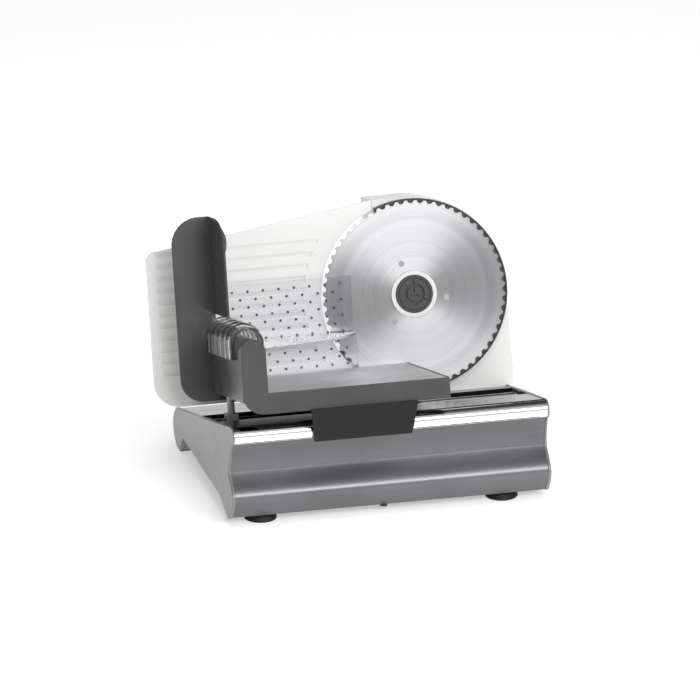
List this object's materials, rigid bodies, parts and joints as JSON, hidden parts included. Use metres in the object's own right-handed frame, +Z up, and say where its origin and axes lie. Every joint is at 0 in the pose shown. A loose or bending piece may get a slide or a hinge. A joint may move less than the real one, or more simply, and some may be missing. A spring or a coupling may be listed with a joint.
{
  "type": "food slicer",
  "caption": "Household deli slicer: sloping wedge base, round toothed blade in a side housing, thickness plate, sliding tray carriage with thumb guard and clear spiked pusher.",
  "frame": {"origin": "on the ground under the middle of the bounding box", "axes": "+Z up; +X along the base, towards the motor housing; +Y back, so the front with the badge plate faces -Y"},
  "size_m": [0.394, 0.2988, 0.292],
  "materials": {
    "black_gloss": "glossy moulded ABS",
    "dark_grey_plastic": "semi-gloss moulded ABS",
    "cap_grey": "satin grey moulded ABS",
    "white_plastic": "semi-gloss silver white",
    "brushed_panel": "brushed stainless sheet",
    "bright_rail": "bright trim",
    "blade_steel": "circular ground stainless",
    "tray_steel": "brushed stainless",
    "machined_steel": "turned steel",
    "bronze": "sintered bronze",
    "rubber": "moulded rubber",
    "nylon": "natural nylon",
    "clear_plastic": "clear smoke polycarbonate",
    "black_plastic": "satin black",
    "armature": "varnished winding on laminations",
    "red_plastic": "red button"
  },
  "bodies": {
    "base": {"deck_cover": "black_gloss", "front_panel": "brushed_panel", "front_rail": "bright_rail", "end_cap_left": "cap_grey", "end_cap_right": "cap_grey", "bottom_plate": "black_plastic", "back_panel": "cap_grey", "suction_feet": "rubber", "feet_screws": "machined_steel", "rear_pads": "rubber", "slide_rod": "machined_steel", "rod_holders": "black_plastic", "base_screws": "machined_steel", "centre_stub": "rubber", "cord_gland": "black_plastic", "housing_front": "white_plastic", "housing_rear": "white_plastic", "guard_ring": "black_plastic", "housing_screws": "machined_steel", "blade_spindle": "machined_steel", "spindle_plate": "machined_steel", "motor_can": "machined_steel", "motor_bearings": "machined_steel", "motor_bracket": "machined_steel", "worm_bush": "bronze", "switch_body": "black_plastic", "guide_pedestal": "black_plastic", "guide_rods": "machined_steel", "button_springs": "machined_steel"},
    "blade": {"blade": "blade_steel", "blade_hub": "nylon", "blade_screws": "bright_rail", "hub_bushes": "bronze"},
    "lock_knob": {"lock_knob": "dark_grey_plastic"},
    "rotor": {"motor_shaft": "machined_steel", "worm": "bronze", "armature": "armature", "motor_fan": "black_plastic"},
    "thickness_plate": {"thickness_plate": "white_plastic", "plate_carrier": "white_plastic", "carrier_bushes": "bronze"},
    "thickness_knob": {"thickness_knob": "black_plastic", "lead_screw": "machined_steel"},
    "carriage": {"carriage_frame": "dark_grey_plastic", "food_tray": "tray_steel", "tray_trim": "black_plastic", "badge_plate": "black_plastic", "thumb_guard": "dark_grey_plastic", "slider_blocks": "black_plastic", "slider_bushes": "bronze", "glide_pads": "nylon", "carriage_screws": "machined_steel"},
    "pusher": {"pusher_saddle": "clear_plastic", "pusher_plate": "clear_plastic", "pusher_spikes": "dark_grey_plastic"},
    "power_button": {"power_button": "black_plastic"},
    "safety_button": {"safety_button": "red_plastic"}
  },
  "joints": [
    {"name": "blade_spin", "type": "hinge", "parent": "base", "child": "blade", "pos_m": [0.0922, 0.06031, 0.16996], "axis": [0, 0.9613, -0.2756], "continuous": true},
    {"name": "lock_turn", "type": "hinge", "parent": "blade", "child": "lock_knob", "pos_m": [0.0922, 0.06031, 0.16996], "axis": [0, 0.9613, -0.2756], "range_deg": [0, 60]},
    {"name": "rotor_spin", "type": "hinge", "parent": "base", "child": "rotor", "pos_m": [0.0922, 0.07865, 0.12507], "axis": [1, 0, 0], "continuous": true},
    {"name": "plate_slide", "type": "slide", "parent": "base", "child": "thickness_plate", "axis": [0, 0.9613, -0.2756], "range_m": [-0.0046, 0.01]},
    {"name": "thickness_knob_turn", "type": "hinge", "parent": "base", "child": "thickness_knob", "pos_m": [0.028, 0.11656, 0.06864], "axis": [0, 0.9613, -0.2756], "range_deg": [-83, 181]},
    {"name": "carriage_slide", "type": "slide", "parent": "base", "child": "carriage", "axis": [1, 0, 0], "range_m": [-0.015, 0.15]},
    {"name": "pusher_slide", "type": "slide", "parent": "carriage", "child": "pusher", "axis": [0, 0.9613, -0.2756], "range_m": [-0.1, 0]},
    {"name": "power_press", "type": "slide", "parent": "base", "child": "power_button", "axis": [0, -0.9613, 0.2756], "range_m": [0, 0.0025], "stiffness_N_per_m": 600},
    {"name": "safety_press", "type": "slide", "parent": "base", "child": "safety_button", "axis": [0, -0.9613, 0.2756], "range_m": [0, 0.0025], "stiffness_N_per_m": 600}
  ],
  "couplings": [
    {"joint": "rotor_spin", "follows": "blade_spin", "ratio": 60},
    {"joint": "thickness_knob_turn", "follows": "plate_slide", "rad_per_m": 314.16}
  ]
}
